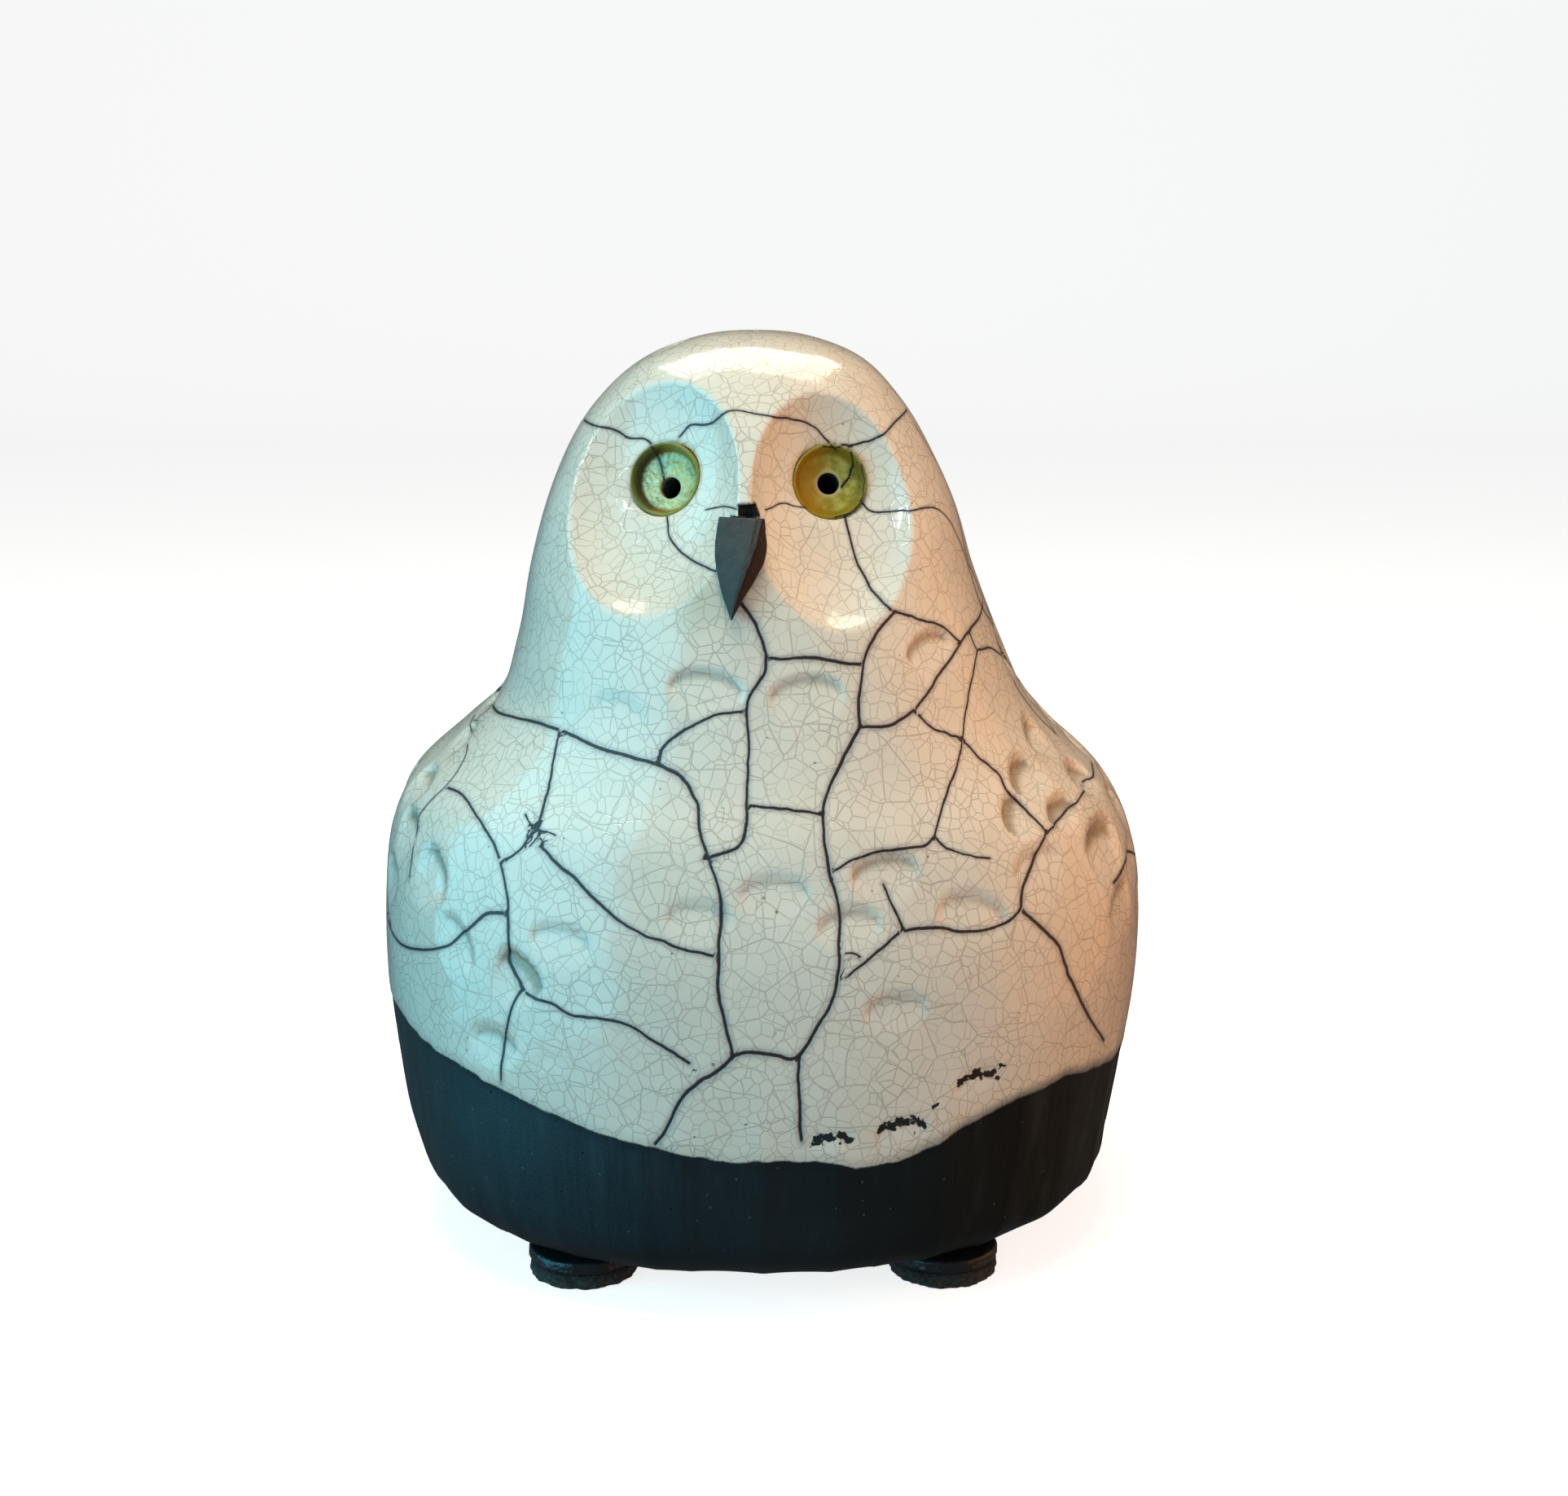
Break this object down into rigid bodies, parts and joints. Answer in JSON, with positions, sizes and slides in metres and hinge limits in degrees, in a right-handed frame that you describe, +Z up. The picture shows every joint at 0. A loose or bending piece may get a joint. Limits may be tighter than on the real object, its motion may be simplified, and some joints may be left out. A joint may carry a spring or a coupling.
{
  "type": "owl figurine",
  "caption": "Squat hollow ceramic owl with a domed head, hollowed facial discs, dished eyes with open pupils, a hooked beak and a flat vented base on round pads.",
  "frame": {"origin": "on the table, under the middle of the body's bounding box", "axes": "+Z up through the crown, -Y the way the owl looks, +X towards the owl's own left"},
  "size_m": [0.1403, 0.129, 0.164],
  "materials": {
    "crackle_glaze": "white crackle glaze, glossy, with smoke-black cracks, over a bare smoke-black foot",
    "smoked_clay": "bare clay smoked black, dull",
    "eye_glaze": "yellow-green glaze, glossy",
    "beak_clay": "bare clay smoked dark grey, matt",
    "pad_rubber": "black, semi-gloss",
    "pad_felt": "rough black felt"
  },
  "bodies": {
    "root": {"body_shell": "crackle_glaze", "floor_slab": "smoked_clay", "beak": "beak_clay", "eye_cup_right": "eye_glaze", "eye_cup_left": "eye_glaze", "foot_rubber_front_right": "pad_rubber", "foot_rubber_front_left": "pad_rubber", "foot_rubber_rear_right": "pad_rubber", "foot_rubber_rear_left": "pad_rubber", "foot_felt_front_right": "pad_felt", "foot_felt_front_left": "pad_felt", "foot_felt_rear_right": "pad_felt", "foot_felt_rear_left": "pad_felt"}
  },
  "joints": []
}
